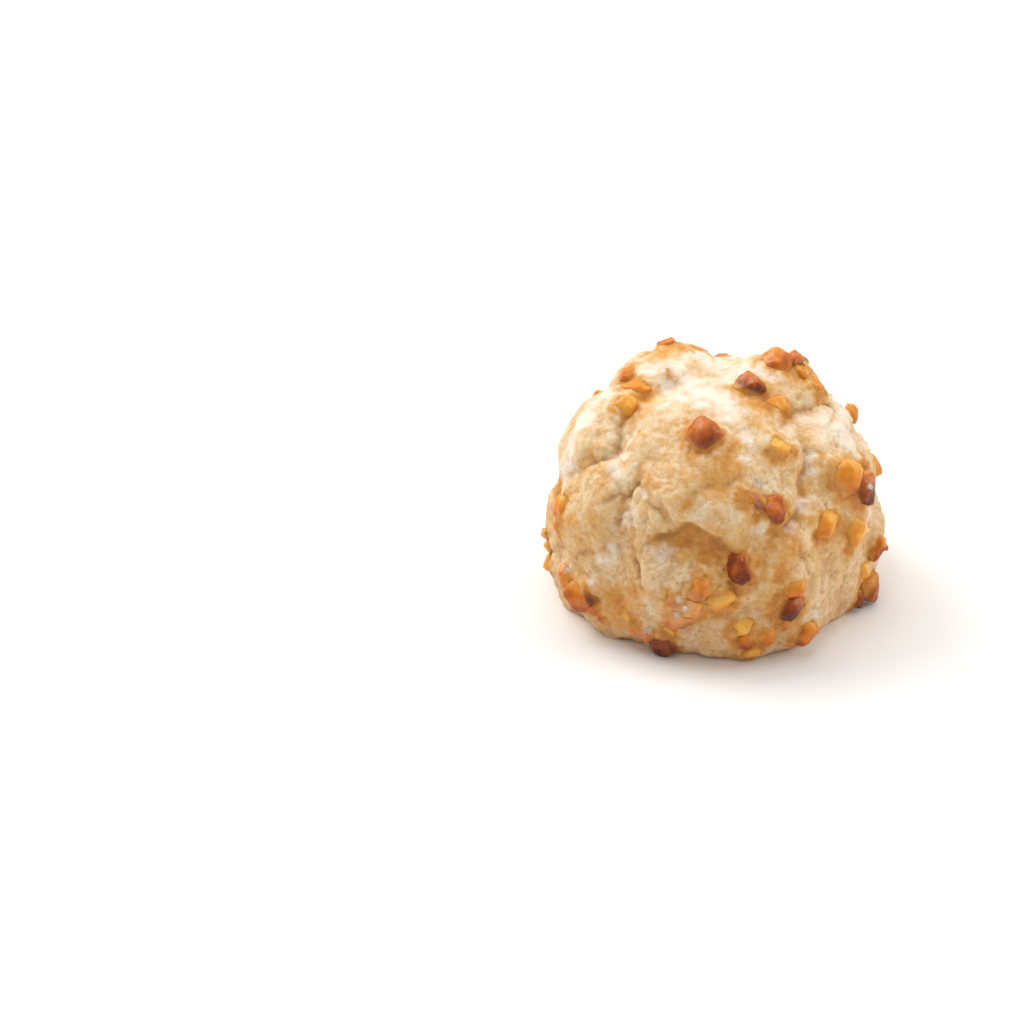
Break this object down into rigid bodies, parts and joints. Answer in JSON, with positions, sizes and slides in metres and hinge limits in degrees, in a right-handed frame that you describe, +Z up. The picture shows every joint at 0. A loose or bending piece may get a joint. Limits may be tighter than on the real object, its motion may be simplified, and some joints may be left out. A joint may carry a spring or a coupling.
{
  "type": "choux bun",
  "caption": "Round puffed choux bun with a lobed, cracked golden crust, chopped roasted nuts baked into it and a flat base.",
  "frame": {"origin": "on the flat base, under the middle of the bun", "axes": "+Z up, the front that the picture shows faces -Y, +X to its right"},
  "size_m": [0.0656, 0.0667, 0.0499],
  "materials": {
    "crust": "matt baked dough, dusted with sugar",
    "nuts": "roasted, softly glossy",
    "sugar": "matt white powder"
  },
  "bodies": {
    "root": {"bun": "crust"}
  },
  "joints": []
}
